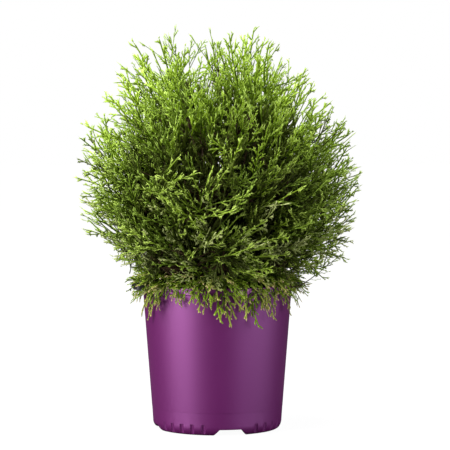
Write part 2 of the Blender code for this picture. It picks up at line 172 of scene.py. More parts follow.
# Branches from a mass's heart
BRANCHES = 6
BRANCH_WIDEST_LEAN = 110.0
BRANCH_SHARE = 0.62  # of the way to the crown's edge
BRANCH_LONGEST = 0.060
BRANCH_BARE = 2  # of its steps, those without twigs
BRANCH_RADIUS = 0.0011
TWIG_RADIUS = 0.0009
TWIG_TAPER = (1.2, 0.8, 0.5)  # of that, at its foot, where the leaves begin and at its tip
TWIG_STEPS = 3

# Plumes, in layers under the crown's edge
LAYERS = (
    {"share": (0.84, 1.00), "spacing": 0.061, "length": (0.105, 0.150)},
    {"share": (0.74, 0.84), "spacing": 0.037, "length": (0.095, 0.125)},
    {"share": (0.56, 0.70), "spacing": 0.035, "length": (0.080, 0.110)},
    {"share": (0.34, 0.50), "spacing": 0.036, "length": (0.070, 0.100)},
    {"share": (0.10, 0.28), "spacing": 0.040, "length": (0.070, 0.090)},
)
TRIES = 6000  # a layer
PLUME_ORIGIN = Vector((0, 0, 0.33))  # from which the way to a tip is measured
PLUME_STEPS = 8
EDGE_LUMPS = 0.16
TOP_FULLER = 0.04
TOP_FROM = 0.55  # the sine of the lift where the open top begins
TOP_OPEN = 0.18  # share of its plumes that is left out
PLUME_SPRAYS = 5
PLUME_BARE = 0.22  # share of the plume before its first spray
PLUME_LAST = 0.72  # and before its last
SPRAY_SHARES = (0.66, 0.46)  # of the plume's length, near its base and near its tip
LATERAL_ANGLE = (30.0, 56.0)
CLUMPING = 0.45  # how much the plumes of a clump lean the same way
CLUMP_SHIFTS = (Vector((3.1, 0, 0)), Vector((0, 7.3, 0)), Vector((0, 0, 5.7)))
TIP_WAY_ORIGIN = Vector((0, 0, 0.235))  # the tips point away from it
TIP_RISE = (0.0, 0.65)  # how much a tip turns up, and down where it is low
TIP_FALL = 0.1
TIP_STRAY = 0.22
LOW_TOP = 0.34  # below this height tips rise less, and not at all from this much below
LOW_DEPTH = 0.12
FACING_STRAY = 0.55
LOOSE_STRAY = 0.3  # the same where a plume arches or hangs
LOWEST_TIP = 0.206
LOW_TIP_RADIUS = 0.120
LOW_TIP_SLOPE = 1.1  # how much farther out a low tip may be for each unit that it is higher
BARE_TWIG = 2  # of the steps of a plume's stem, those of brown wood

# Room between foliage and pot
WALL_ROOM = 0.003
POT_ROOM = 0.004
OPENING_ROOM = 0.012
SOIL_ROOM = 0.006

# Open places, two in the crown's front and a shallow one on its left side
# azimuth, lift, wide, tall: degrees; depth: the share of the way out that is taken off
HOLLOWS = (
    {"azimuth": 26, "lift": 12, "wide": 16, "tall": 26, "depth": 0.19},
    {"azimuth": -4, "lift": -13, "wide": 17, "tall": 17, "depth": 0.21},
    {"azimuth": -90, "lift": 19, "wide": 30, "tall": 24, "depth": 0.08},
)

# Plumes that arch across the others, all round
ARCHING = 40
ARCH_HEIGHT = (0.230, 0.390)
ARCH_SHARE = (0.82, 0.95)
ARCH_LENGTH = (0.085, 0.115)

# Plumes that hang over the lip: long ones down the wall, and short ones that hide the lip
HANGERS = {
    "hanging": {"count": 46, "root": (0.082, 0.246), "bend": (0.118, 0.238),
                "radius": (0.118, 0.125), "height": (0.162, 0.202)},
    "lip": {"count": 70, "root": (0.074, 0.232), "bend": (0.112, 0.246),
            "radius": (0.119, 0.131), "height": (0.200, 0.223)},
}
HANG_OVERLAP = 0.014
FRONT_HALF_ANGLE = 60.0
SHORTER = 0.6  # elsewhere, how much of the way up to the lip's height their tips are drawn
SHORTER_TO = 0.210

# Sprays
# reach: the longest lateral, and half: half a shoot's width, both of the spray's length
KINDS = {
    "full": {"shapes": 10, "laterals": 6, "reach": 0.46, "half": 0.0160, "nubs": 6},
    "slender": {"shapes": 7, "laterals": 4, "reach": 0.27, "half": 0.0150, "nubs": 7},
    "coarse": {"shapes": 7, "laterals": 4, "reach": 0.42, "half": 0.0300, "nubs": 3},
    "deep": {"shapes": 5, "laterals": 6, "reach": 0.50, "half": 0.0340, "nubs": 0},
}
SLENDER_SHARE = (0.22, 0.60)  # under the crown's edge, and at it
SLENDER_FROM = 0.86
SLENDER_LENGTH = 1.25
DEEP_BELOW = 0.66  # of the way to the crown's edge
HUB_SPRAYS = 16
HUB_LENGTH = 0.042
SHOOT_FLATNESS = 0.5
SHOOT_BLUNTNESS = 0.6  # how far along its last step a shoot keeps its width
MAIN_WIDTHS = (0.85, 0.95, 1.0, 1.0)
SIDE_WIDTHS = (0.85, 1.0, 1.0)

# Surfaces that follow one noise
# two colours; roughness and specular; the noise's scale, detail and stretch; the relief's strength and depth
SURFACES = {
    "black_plastic": (((16, 15, 16), (32, 30, 31)), (0.45, 0.4), (180.0, 4.0), (0.15, 0.0005)),
    "damp_mix": (((26, 18, 13), (84, 60, 42)), (0.95, 0.15), (170.0, 8.0), (1.0, 0.003)),
    "bark_chips": (((58, 38, 26), (122, 86, 58)), (0.9, 0.2), (90.0, 6.0), (0.8, 0.001)),
    "bark": (((34, 21, 13), (88, 58, 38)), (0.85, 0.2), (420.0, 6.0, (1, 1, 0.12)), (0.8, 0.0012)),
    "twig_bark": (((34, 24, 10), (60, 42, 20)), (0.75, 0.2), (500.0, 3.0), (0.5, 0.0005)),
}

# The studio
# name, place, aim, size, power and colour of each light
LIGHTS = (
    ("left_box", (-1.85, -1.16, 0.88), (0, 0, 0.28), (1.7, 1.9), 103, (1, 1, 1)),
    ("right_box", (2.02, -1.03, 0.64), (0, 0, 0.24), (3.0, 1.3), 53, (0.94, 0.93, 1.0)),
    ("back_box", (0.5, 1.9, 2.0), (0, 0, 0.36), (1.4, 0.8), 34, (1, 1, 1)),
    ("top_box", (-0.4, -0.1, 2.3), (0, 0, 0.3), (1.5, 1.5), 98, (1, 1, 1)),
)
FLOOR_GLOW = {"From_Min": 0.15, "From_Max": 2.2, "To_Min": 0.96, "To_Max": 1.0}
WHITE = (1, 1, 1, 1)
CAMERA_PLACE = Vector((0.0118, -3.4, 0.50))
CAMERA_AIM = Vector((0.0118, 0, 0.310))


def around(angle, radius, height):
    """The point at that angle round the pot's axis."""
    turn = radians(angle)
    return Vector((radius * sin(turn), -radius * cos(turn), height))


def srgb(r, g, b):
    """A colour given in 0 to 255, as the shaders take it."""
    shares = (r / 255, g / 255, b / 255)
    return (*(c / 12.92 if c <= 0.04045 else ((c + 0.055) / 1.055) ** 2.4 for c in shares), 1.0)


def swing(draw, most):
    return draw.uniform(-most, most)


def stray(draw, spread):
    return Vector([draw.gauss(0, spread) for _ in range(3)])


# Materials

def connect(tree, node, **sockets):
    """Sets a node's sockets by name, _ for a space, each to a value or to another node's output."""
    for name, value in sockets.items():
        socket = node.inputs[name.replace("_", " ")]
        if isinstance(value, bpy.types.NodeSocket):
            tree.links.new(value, socket)
        else:
            socket.default_value = value
    return node


def add_node(tree, kind, **sockets):
    return connect(tree, tree.nodes.new("ShaderNode" + kind), **sockets)


def principled(name, colour, roughness, specular):
    made = bpy.data.materials.new(name)
    made.use_nodes = True
    tree = made.node_tree
    shader = tree.nodes["Principled BSDF"]
    connect(tree, shader, Base_Color=colour, Roughness=roughness, Specular_IOR_Level=specular)
    return made, tree, shader


def noise_node(tree, scale, detail, stretch=(1, 1, 1)):
    """Noise in the object's own space."""
    place = add_node(tree, "TexCoord").outputs["Object"]
    mapped = add_node(tree, "Mapping", Vector=place, Scale=stretch).outputs["Vector"]
    return add_node(tree, "TexNoise", Vector=mapped, Scale=scale, Detail=detail).outputs["Fac"]


def ramp_between(tree, factor, low, high, start=0.3, end=0.7):
    made = add_node(tree, "ValToRGB", Fac=factor)
    for element, place, colour in zip(made.color_ramp.elements, (start, end), (low, high)):
        element.position = place
        element.color = colour
    return made.outputs["Color"]


def bump(tree, shader, height, strength, distance):
    made = add_node(tree, "Bump", Height=height, Strength=strength, Distance=distance)
    connect(tree, shader, Normal=made.outputs["Normal"])


def varied(name):
    """A surface whose colour runs between two along a noise that also raises it."""
    colours, gloss, noise_values, relief = SURFACES[name]
    low, high = (srgb(*colour) for colour in colours)
    made, tree, shader = principled(name, low, *gloss)
    grain = noise_node(tree, *noise_values)
    connect(tree, shader, Base_Color=ramp_between(tree, grain, low, high))
    bump(tree, shader, grain, *relief)
    return made


def leaf_material(name, colour):
    """Scale leaves: one green, with the small bumps of the overlapping scales."""
    made, tree, shader = principled(name, colour, 0.55, 0.2)
    connect(tree, shader, Specular_Tint=(0.8, 1.0, 0.3, 1.0))
    bump(tree, shader, noise_node(tree, 700.0, 1.0), 0.5, 0.0004)
    return made


def pot_material():
    """Satin purple plastic, a little uneven from the mould."""
    made, tree, shader = principled("purple_plastic", srgb(80, 4, 70), 0.42, 1.0)
    connect(tree, shader, Specular_Tint=(1.0, 0.40, 1.0, 1.0), IOR=1.75)
    cloud = noise_node(tree, 14.0, 5.0, (1, 1, 0.35))
    colour = ramp_between(tree, cloud, srgb(77, 3, 68), srgb(83, 5, 73), 0.35, 0.65)
    rough = add_node(tree, "MapRange", Value=noise_node(tree, 260.0, 5.0), To_Min=0.38, To_Max=0.48)
    connect(tree, shader, Base_Color=colour, Roughness=rough.outputs["Result"])
    bump(tree, shader, noise_node(tree, 900.0, 2.0), 0.10, 0.0004)
    return made


# Meshes from arrays

class Pile:
    def __init__(self):
        self.verts = []
        self.faces = []
        self.looks = []
        self.count = 0

    def add(self, verts, faces, looks=0):
        self.verts.append(np.array(verts))
        self.faces.append(np.array(faces) + self.count)
        self.looks.append(np.broadcast_to(looks, len(faces)))
        self.count += len(verts)

    def arrays(self):
        return np.concatenate(self.verts), np.concatenate(self.faces), np.concatenate(self.looks)

    def build(self, name, materials, slot):
        verts, faces, looks = self.arrays()
        mesh = bpy.data.meshes.new(name)
        mesh.from_pydata(verts.tolist(), [], faces.tolist(), shade_flat=False)
        mesh.polygons.foreach_set("material_index", looks.astype(np.int32))
        for material in materials:
            mesh.materials.append(material)
        return add_piece(name, mesh, slot)


def new_object(name, data):
    made = bpy.data.objects.new(name, data)
    bpy.context.scene.collection.objects.link(made)
    return made


def add_piece(name, mesh, slot):
    made = new_object(name, mesh)
    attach(made, "root")
    return made


def ring_faces(rings, sides):
    """The triangles between rings of points, ring by ring."""
    faces = []
    for ring in range(rings - 1):
        for k in range(sides):
            a = ring * sides + k
            b = ring * sides + (k + 1) % sides
            faces += [(a, b, b + sides), (a, b + sides, a + sides)]
    return faces


def tube(centres, radii, sides, relief=None):
    """A closed tube. relief(ring, turn) is the share of the radius that is added there."""
    centres = np.array([tuple(c) for c in centres])
    ahead = np.gradient(centres, axis=0)
    ahead /= np.linalg.norm(ahead, axis=1)[:, None]
    side = np.cross(ahead[0], (0.31, 0.95, 0.02))  # a way that no limb starts along
    verts = []
    for ring, centre in enumerate(centres):
        side = side - ahead[ring] * side.dot(ahead[ring])
        side /= np.linalg.norm(side)
        other = np.cross(ahead[ring], side)
        for k in range(sides):
            turn = 2 * pi * k / sides
            radius = radii[ring] * (1 + (relief(ring, turn) if relief else 0))
            verts.append(centre + radius * (cos(turn) * side + sin(turn) * other))
    faces = ring_faces(len(centres), sides)
    last = (len(centres) - 1) * sides
    for k in range(1, sides - 1):
        faces.append((0, k + 1, k))
        faces.append((last, last + k, last + k + 1))
    return verts, faces


# The pot

def wall_radius(height):
    share = (height - FOOT_ROUNDING) / (POT_HEIGHT - LIP_HEIGHT - FOOT_ROUNDING)
    return WALL_FOOT_RADIUS + share * (LIP_RADIUS - LIP_PROUD - WALL_FOOT_RADIUS)


def inside_radius(height):
    top = POT_HEIGHT - LIP_ROUNDING
    low = wall_radius(FLOOR_TOP) - WALL
    high = LIP_RADIUS - LIP_PROUD - WALL
    return low + (height - FLOOR_TOP) / (top - FLOOR_TOP) * (high - low)


def pot_profile():
    """Up the inside, over the lip, down the outside with its faint step, and in under the foot."""
    inside_top = POT_HEIGHT - LIP_ROUNDING
    lip_under = POT_HEIGHT - LIP_HEIGHT
    inner = [(0.0, FLOOR_TOP), (inside_radius(FLOOR_TOP), FLOOR_TOP), (inside_radius(inside_top), inside_top)]
    inner.append((inside_radius(inside_top) + LIP_ROUNDING, POT_HEIGHT))
    lip = []
    for step in range(ROUNDING_STEPS + 1):
        turn = 0.5 * pi * step / ROUNDING_STEPS
        out = LIP_RADIUS - LIP_ROUNDING * (1 - sin(turn))
        lip.append((out, POT_HEIGHT - LIP_ROUNDING * (1 - cos(turn))))
    lip.append((LIP_RADIUS, lip_under + LIP_ROUNDING))
    wall = []
    for ring in range(WALL_RINGS + 1):
        height = lip_under + (STEP_LINE - lip_under) * ring / WALL_RINGS
        wall.append((wall_radius(height), height))
    wall.append((wall_radius(STEP_LINE) - STEP_DEPTH, STEP_LINE - STEP_DEPTH))
    wall.append((wall_radius(FOOT_ROUNDING + STEP_DEPTH), FOOT_ROUNDING + 2 * STEP_DEPTH))
    foot = []
    for step in range(ROUNDING_STEPS + 1):
        turn = 0.5 * pi * (1 - step / ROUNDING_STEPS)
        out = (WALL_FOOT_RADIUS - FOOT_RADIUS) * sin(turn)
        foot.append((FOOT_RADIUS + out, FOOT_ROUNDING * (1 - cos(turn))))
    ring_inside = FOOT_RADIUS - FOOT_RING
    under = [(ring_inside, 0.0), (ring_inside, FLOOR_UNDERSIDE), (0.0, FLOOR_UNDERSIDE)]
    return inner + lip + wall + foot + under


def closed_mesh(name, bm):
    """The mesh of a closed shape, its faces turned outwards."""
    bm.normal_update()
    bmesh.ops.recalc_face_normals(bm, faces=bm.faces)
    mesh = bpy.data.meshes.new(name)
    bm.to_mesh(mesh)
    bm.free()
    return mesh


def helper(name, bm, where, matrix=Matrix()):
    """A shape that is cut from the pot or joined to it."""
    bm.transform(matrix)
    where.objects.link(bpy.data.objects.new(name, closed_mesh(name, bm)))


def rod(low, high, radius, sides):
    bm = bmesh.new()
    along = high - low
    matrix = Matrix.Translation((low + high) / 2) @ along.to_track_quat("Z", "X").to_matrix().to_4x4()
    bmesh.ops.create_cone(
        bm, cap_ends=True, segments=sides, radius1=radius, radius2=radius, depth=along.length, matrix=matrix
    )
    return bm


def notch_block():
    """A block that narrows upwards, across the foot ring on the -Y side."""
    bm = bmesh.new()
    bmesh.ops.create_cube(bm, size=1.0)
    slope = (NOTCH_WIDTH_LOW - NOTCH_WIDTH_HIGH) / NOTCH_HEIGHT
    for vert in bm.verts:
        upper = vert.co.z > 0
        width = NOTCH_WIDTH_HIGH if upper else NOTCH_WIDTH_LOW + slope * NOTCH_HEIGHT
        height = NOTCH_HEIGHT if upper else -NOTCH_HEIGHT
        vert.co = (vert.co.x * width, vert.co.y * 4 * FOOT_RING - FOOT_RADIUS, height)
    return bm


def rounded_block(inner, outer, width, low, high, corner):
    """A block that stands out from the pot along -Y, its upright edges rounded."""
    bm = bmesh.new()
    bmesh.ops.create_cube(bm, size=1.0)
    for vert in bm.verts:
        vert.co.x *= width
        vert.co.y = -outer if vert.co.y < 0 else -inner
        vert.co.z = low if vert.co.z < 0 else high
    outer_edges = [e for e in bm.edges if all(v.co.y < -inner - corner for v in e.verts)]
    upright = [e for e in outer_edges if abs(e.verts[0].co.z - e.verts[1].co.z) > corner / 2]
    bmesh.ops.bevel(bm, geom=upright, offset=corner, segments=6, profile=0.5, affect="EDGES")
    return bm


def boolean(target, operation, others):
    cut = target.modifiers.new(operation.lower(), "BOOLEAN")
    cut.operation = operation
    cut.operand_type = "COLLECTION"
    cut.collection = others
    cut.solver = "EXACT"


def is_black(centre):
    """Whether that place on the pot takes the black material: its inside and its two hand grips."""
    radius = hypot(centre.x, centre.y)
    inside = centre.z > FLOOR_TOP - 0.0005 and radius < inside_radius(centre.z) + 0.0008
    return inside or radius > LIP_RADIUS + 0.0006


def turned_pot():
    bm = bmesh.new()
    ring = [bm.verts.new((radius, 0.0, height)) for radius, height in pot_profile()]
    for low, high in zip(ring, ring[1:]):
        bm.edges.new((low, high))
    bmesh.ops.spin(
        bm, geom=bm.verts[:] + bm.edges[:], axis=(0, 0, 1),
        angle=2 * pi, steps=POT_STEPS, use_merge=True,
    )
    bmesh.ops.remove_doubles(bm, verts=bm.verts, dist=0.00001)
    return new_object("pot_turned", closed_mesh("pot_turned", bm))


def cut_quarter(cuts, centre, quarter):
    """A notch with its drain hole, and the flutes between it and the next."""
    helper("notch", notch_block(), cuts, Matrix.Rotation(radians(centre), 4, "Z"))
    low = around(centre, DRAIN_CIRCLE, FLOOR_UNDERSIDE - WALL)
    high = around(centre, DRAIN_CIRCLE, FLOOR_TOP + WALL)
    helper("drain", rod(low, high, DRAIN_RADIUS, 32), cuts)
    for k in range(FLUTES_PER_QUARTER):
        angle = centre + quarter / 2 + (k - (FLUTES_PER_QUARTER - 1) / 2) * FLUTE_SPACING
        low = around(angle, *FLUTE_LOW)
        high = around(angle, *FLUTE_HIGH)
        helper("flute", rod(low, high, FLUTE_RADIUS, 20), cuts)


def add_grip(grips, cuts, angle):
    """A hand grip, and the pocket that leaves it a thin plate with a rim."""
    turn = Matrix.Rotation(radians(angle), 4, "Z")
    low = POT_HEIGHT - GRIP_HEIGHT
    grip = rounded_block(GRIP_INNER, GRIP_OUTER, GRIP_WIDTH, low, POT_HEIGHT, GRIP_CORNER)
    helper("grip", grip, grips, turn)
    inner = LIP_RADIUS + GRIP_RIM / 2
    outer = GRIP_OUTER - GRIP_RIM
    width = GRIP_WIDTH - 2 * GRIP_RIM
    top = POT_HEIGHT - GRIP_PLATE
    pocket = rounded_block(inner, outer, width, low - WALL, top, GRIP_CORNER - GRIP_RIM)
    helper("grip_pocket", pocket, cuts, turn)


def make_pot():
    turned = turned_pot()
    cuts = bpy.data.collections.new("pot_cuts")
    grips = bpy.data.collections.new("pot_grips")
    quarter = 360.0 / NOTCHES
    for n in range(NOTCHES):
        cut_quarter(cuts, NOTCH_ANGLE + n * quarter, quarter)
    for side in (-quarter, quarter):
        add_grip(grips, cuts, NOTCH_ANGLE + side)
    boolean(turned, "UNION", grips)
    boolean(turned, "DIFFERENCE", cuts)
    graph = bpy.context.evaluated_depsgraph_get()
    mesh = bpy.data.meshes.new_from_object(turned.evaluated_get(graph))
    mesh.name = "pot_shell"
    bpy.data.objects.remove(turned)
    for group in (cuts, grips):
        for obj in list(group.objects):
            bpy.data.objects.remove(obj)
        bpy.data.collections.remove(group)
    mesh.materials.clear()
    mesh.materials.append(pot_material())
    mesh.materials.append(varied("black_plastic"))
    for face in mesh.polygons:
        face.material_index = 1 if is_black(face.center) else 0
    mesh.shade_smooth()
    mesh.set_sharp_from_angle(angle=radians(SHARP_ANGLE))
    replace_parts(add_piece("pot_shell", mesh, "pot"), "pot")


# The potting mix

def soil_height(x, y):
    """The lumpy top of the mix, mounded round the stem."""
    place = Vector((x, y, 0))
    mound = SOIL_MOUND * max(0.0, 1 - place.length / LIP_RADIUS)
    lumps = noise.fractal(place * 55, 1.0, 2.0, 5)
    return SOIL_LEVEL - SOIL_MOUND + mound + 0.0022 + 0.0030 * lumps


def make_soil(mix):
    """A lumpy top laid on the solid mix, which takes the same damp look."""
    dark = varied("damp_mix")
    mix.material_slots[0].material = dark
    rings = 36
    sides = 96
    edge = inside_radius(SOIL_LEVEL) - GAP
    verts = [(0.0, 0.0, soil_height(0.0, 0.0))]
    for ring in range(1, rings + 1):
        for k in range(sides):
            x = edge * ring / rings * cos(2 * pi * k / sides)
            y = edge * ring / rings * sin(2 * pi * k / sides)
            verts.append((x, y, soil_height(x, y)))
    faces = [(0, 1 + k, 1 + (k + 1) % sides) for k in range(sides)]
    faces += [(1 + a, 1 + c, 1 + b) for a, b, c in ring_faces(rings, sides)]
    pile = Pile()
    pile.add(verts, faces)
    pile.build("mix_top", [dark], "soil")


def make_chips():
    draw = random.Random(SEED + 5)
    chip = varied("bark_chips")
    pile = Pile()
    edge = inside_radius(SOIL_LEVEL) - 0.006
    cube = np.array([(x, y, z) for x in (-0.5, 0.5) for y in (-0.5, 0.5) for z in (-0.5, 0.5)])
    quads = ((0, 1, 3, 2), (4, 6, 7, 5), (0, 4, 5, 1), (2, 3, 7, 6), (0, 2, 6, 4), (1, 5, 7, 3))
    faces = [t for a, b, c, d in quads for t in ((a, b, c), (a, c, d))]
    for _ in range(CHIPS):
        radius = edge * sqrt(draw.uniform(0.03, 1))
        spin = draw.uniform(0, 2 * pi)
        size = draw.uniform(0.003, 0.009)
        shape = Matrix.Diagonal((size, size * draw.uniform(0.35, 0.8), size * draw.uniform(0.15, 0.35)))
        turn = Matrix.Rotation(draw.uniform(0, 6.3), 3, "Z")
        tilt = Matrix.Rotation(draw.gauss(0, 0.35), 3, "X")
        x = radius * cos(spin)
        y = radius * sin(spin)
        strays = [swing(draw, 0.35) for _ in range(cube.size)]
        ragged = cube * (1 + np.array(strays).reshape(cube.shape))
        place = np.array((x, y, soil_height(x, y) + 0.0006))
        pile.add(ragged @ np.array(turn @ tilt @ shape).T + place, faces)
    pile.build("mix_chips", [chip], "soil")


# The plant's plan

def trunk_share(height):
    return (height - SOIL_LEVEL) / (TRUNK_TOP - SOIL_LEVEL)


def trunk_centre(height):
    left, back = (TRUNK_SWAY * sin(wave * trunk_share(height)) for wave in TRUNK_WAVES)
    return Vector((-left, back, height))


def trunk_radius(height):
    flare = ROOT_FLARE * exp(-(height - SOIL_LEVEL) / FLARE_HEIGHT)
    return TRUNK_FOOT_RADIUS + trunk_share(height) * (TRUNK_TOP_RADIUS - TRUNK_FOOT_RADIUS) + flare


def bezier(a, b, c, d, share):
    rest = 1 - share
    return rest**3 * a + 3 * rest**2 * share * b + 3 * rest * share**2 * c + share**3 * d


def crown_share(point):
    """Under 1 inside the egg that the crown fills."""
    up = point.z - CROWN_CENTRE.z
    up /= CROWN_UP if up > 0 else CROWN_DOWN
    x = point.x - CROWN_CENTRE.x + up * CROWN_LEAN
    y = point.y - CROWN_CENTRE.y
    power = CROWN_TAPER if up > 0 else CROWN_BELLY
    return ((hypot(x, y) / CROWN_RADIUS) ** power + abs(up) ** power) ** (1 / power)


def edge_point(origin, along, share):
    """Where a ray from inside the crown comes to a share of the way to its edge."""
    low = 0.0
    high = 0.5
    for _ in range(18):
        middle = (low + high) / 2
        if crown_share(origin + middle * along) < share:
            low = middle
        else:
            high = middle
    return origin + low * along


class Mass:
    """A mass of foliage: where its heart is, the bough that carries it, and the branches from its heart."""

    def __init__(self, tier, number, heart):
        self.tier = tier
        self.number = number
        self.name = f"foliage_{tier}_{number}" if number else f"foliage_{tier}"
        self.bough_name = f"bough_{tier}_{number}" if number else None
        self.heart = heart
        self.axis = (heart - CROWN_HEART).normalized()
        self.branches = []
        self.pile = Pile()

    def grow_branches(self, draw):
        widest = 1 - cos(radians(BRANCH_WIDEST_LEAN))
        turn = self.axis.to_track_quat("Z", "X")
        for n in range(BRANCHES):
            lean = acos(1 - widest * (n + 0.5) / BRANCHES)
            spin = radians(n * GOLDEN_ANGLE + swing(draw, 15))
            level = sin(lean)
            along = turn @ Vector((level * cos(spin), level * sin(spin), cos(lean)))
            reach = (edge_point(self.heart, along, BRANCH_SHARE) - self.heart).length
            reach = max(0.015, min(reach, BRANCH_LONGEST))
            bend = self.heart + 0.5 * reach * along - Vector((0, 0, 0.008))
            end = self.heart + reach * along
            shares = [k / 5 for k in range(6)]
            self.branches.append([bezier(self.heart, bend, bend, end, share) for share in shares])

    def place_for_twig(self, root, way):
        """The place on a branch from which a twig grows to a plume's root with the least turn and length."""
        def cost(place):
            reach = root - place
            return reach.length * (1.7 - reach.normalized().dot(way))
        return min((place for branch in self.branches for place in branch[BRANCH_BARE:]), key=cost)


def plan_masses():
    draw = random.Random(SEED)
    masses = []
    for tier, plan in TIERS.items():
        for n in range(plan["count"]):
            jitter = Vector([swing(draw, SEED_JITTER) for _ in range(3)])
            angle = plan["turn"] + n * 360.0 / plan["count"]
            masses.append(Mass(tier, n + 1, around(angle, plan["radius"], plan["height"]) + jitter))
    masses.append(Mass("crest", 0, trunk_centre(TRUNK_TOP) + Vector((0, 0, CREST_HEIGHT - TRUNK_TOP))))
    draw = random.Random(SEED + 3)
    for mass in masses:
        mass.grow_branches(draw)
    return masses


def bough_points(mass, number):
    """The bough's middle from inside the trunk to its tip, then straight on to the heart of its mass."""
    low, high = TIERS[mass.tier]["root"]
    root = trunk_centre(low if number % 2 else high)
    outward = Vector((mass.heart.x - root.x, mass.heart.y - root.y, 0)).normalized()
    arrive = (outward + Vector((0, 0, TIERS[mass.tier]["rise"]))).normalized()
    tip = mass.heart - STEM_LENGTH * arrive
    reach = (tip - root).length
    near, far = BOUGH_BENDS
    leave = root + reach * near * (outward + Vector((0, 0, BOUGH_RISE))).normalized()
    before = tip - reach * far * arrive
    points = [bezier(root, leave, before, tip, k / BOUGH_RINGS) for k in range(BOUGH_RINGS + 1)]
    return points + [tip.lerp(mass.heart, 0.5), mass.heart]


# Wood

def bark_relief(centres):
    def relief(ring, turn):
        along = centres[ring].length * 45
        place = Vector((cos(turn) * 2.4, sin(turn) * 2.4, along))
        return BARK_DEPTH * noise.fractal(place, 1.0, 2.0, 4)
    return relief


def make_wood(masses):
    bark = varied("bark")
    rise = TRUNK_TOP + 0.012 - SOIL_LEVEL
    shares = [(k / TRUNK_RINGS) ** 1.25 for k in range(TRUNK_RINGS + 1)]
    heights = [SOIL_LEVEL + GAP + rise * share for share in shares]
    centres = [trunk_centre(z) for z in heights]
    pile = Pile()
    pile.add(*tube(centres, [trunk_radius(z) for z in heights], TRUNK_SIDES, bark_relief(centres)))
    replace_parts(pile.build("trunk_bark", [bark], "bark"), "trunk")
    pile = Pile()
    carried = [mass for mass in masses if mass.bough_name]
    for number, mass in enumerate(carried):
        centres = bough_points(mass, number)
        radii = np.linspace(TIERS[mass.tier]["thick"], BOUGH_TIP_RADIUS * 0.8, len(centres))
        pile.add(*tube(centres, radii, BOUGH_SIDES, bark_relief(centres)))
    boughs = pile.build("boughs_bark", [bark], "bark")
    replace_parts(boughs, *[mass.bough_name for mass in carried])


# Sprays

def curved(start, angle, length, bend, lift, steps):
    """Points that leave start at an angle and turn by bend on the way."""
    points = [np.array(start, float)]
    for k in range(steps):
        turn = angle + bend * (k + 0.5) / steps
        points.append(points[-1] + length / steps * np.array((cos(turn), sin(turn), lift)))
    return np.array(points)


def shoot(pile, points, widths, parts):
    """A flattened shoot: rings of four, closed by its tip. parts names each ring's third of the spray."""
    ahead = np.gradient(points, axis=0)
    ahead /= np.linalg.norm(ahead, axis=1)[:, None]
    side = np.stack([-ahead[:, 1], ahead[:, 0], 0 * ahead[:, 0]], axis=1)
    rings = len(points) - 1
    if rings > 1:
        points = points.copy()
        points[rings - 1] += SHOOT_BLUNTNESS * (points[rings] - points[rings - 1])
    verts = []
    for ring in range(rings):
        across = widths[ring] * side[ring]
        over = np.array((0, 0, widths[ring] * SHOOT_FLATNESS))
        verts += [points[ring] + across, points[ring] + over, points[ring] - across, points[ring] - over]
    verts.append(points[-1])
    last = 4 * (rings - 1)
    faces = ring_faces(rings, 4) + [(last + k, last + (k + 1) % 4, 4 * rings) for k in range(4)]
    looks = [parts[ring] for ring in range(rings - 1) for _ in range(8)] + [parts[-1]] * 4
    pile.add(verts, faces, looks)


def along_line(points, share):
    """A point at a share of the way along a line, and the heading there in its plane."""
    where = share * (len(points) - 1)
    k = min(int(where), len(points) - 2)
    step = points[k + 1] - points[k]
    return points[k] + (where - k) * step, atan2(step[1], step[0])


def nubs(pile, line, kind, first, draw):
    """Short side shoots by turns along a shoot, each of one ring and a tip."""
    turn = draw.choice((-1, 1))
    for n in range(first, kind["nubs"]):
        turn = -turn
        base, ahead = along_line(line, (n + draw.uniform(0.4, 0.9)) / kind["nubs"])
        length = draw.uniform(0.045, 0.085)
        nub = curved(base, ahead + turn * radians(draw.uniform(32, 50)), length, 0.0, 0.0, 1)
        shoot(pile, nub, kind["half"] * np.array((1.15,)), (2,))


def spray_template(kind, draw):
    """One flat spray, a unit long, along +X: laterals by turns on either side, the longer ones forked."""
    pile = Pile()
    half = kind["half"]
    sway = swing(draw, 0.4)
    main = curved((0, 0, 0), -sway / 2, 1.0, sway, 0.0, len(MAIN_WIDTHS))
    shoot(pile, main, half * np.array(MAIN_WIDTHS), (0, 0, 1, 2))
    nubs(pile, main, kind, 1, draw)
    side = draw.choice((-1, 1))
    for n in range(kind["laterals"]):
        step = n + swing(draw, 0.25)
        place = 0.12 + 0.70 * step / (kind["laterals"] - 1)
        side = -side
        root, heading = along_line(main, max(0.05, place))
        reach = (kind["reach"] - 0.10) * (1 - place) ** 0.8 + 0.10
        reach *= draw.uniform(0.6, 1.2)
        angle = heading + side * radians(draw.uniform(30, 46))
        bend = -side * radians(draw.uniform(0, 28))
        steps = 3 if reach > 0.22 else 2
        lateral = curved(root, angle, reach, bend, swing(draw, 0.15), steps)
        shoot(pile, lateral, half * np.array(SIDE_WIDTHS[:steps]), (0, 1, 2)[3 - steps:])
        nubs(pile, lateral, kind, 5 - steps, draw)
        if reach > 0.30:
            base, ahead = along_line(lateral, draw.uniform(0.25, 0.5))
            turn = draw.choice((-1, 1))
            angle = ahead + turn * radians(draw.uniform(28, 42))
            fork = curved(base, angle, draw.uniform(0.14, 0.24), -turn * 0.3, 0.0, 2)
            shoot(pile, fork, half * np.array(SIDE_WIDTHS[:2]), (1, 2))
    return pile.arrays()


def place_spray(verts, root, way, facing, length, curl, sway):
    """The spray in its place: X along its way, its tip turned up by curl and sideways by sway."""
    verts = verts * length
    pull = verts[:, 0] ** 2 / length
    verts[:, 2] += curl * pull
    verts[:, 1] += sway * pull
    across = facing.cross(way).normalized()
    flat = way.cross(across).normalized()
    return verts @ np.array((way, across, flat)) + np.array(root)


